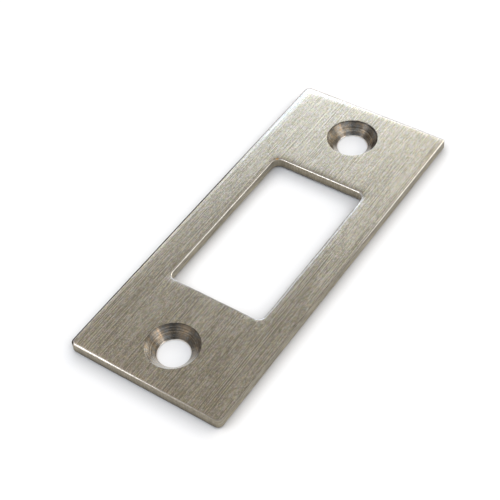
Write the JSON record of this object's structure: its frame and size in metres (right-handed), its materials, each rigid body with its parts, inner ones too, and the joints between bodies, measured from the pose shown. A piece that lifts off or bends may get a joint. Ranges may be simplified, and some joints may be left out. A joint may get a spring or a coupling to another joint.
{
  "type": "door strike plate",
  "caption": "Flat rectangular strike plate of brushed steel, with a bolt window midway between countersunk screw holes.",
  "frame": {"origin": "centre of the plate's back face", "axes": "+X across the plate's width, +Y along its length, +Z out of its finished face"},
  "size_m": [0.0286, 0.0698, 0.0022],
  "materials": {
    "plate_steel": "satin, with a fine straight grain along the plate's length"
  },
  "bodies": {
    "root": {"strike_plate": "plate_steel"}
  },
  "joints": []
}
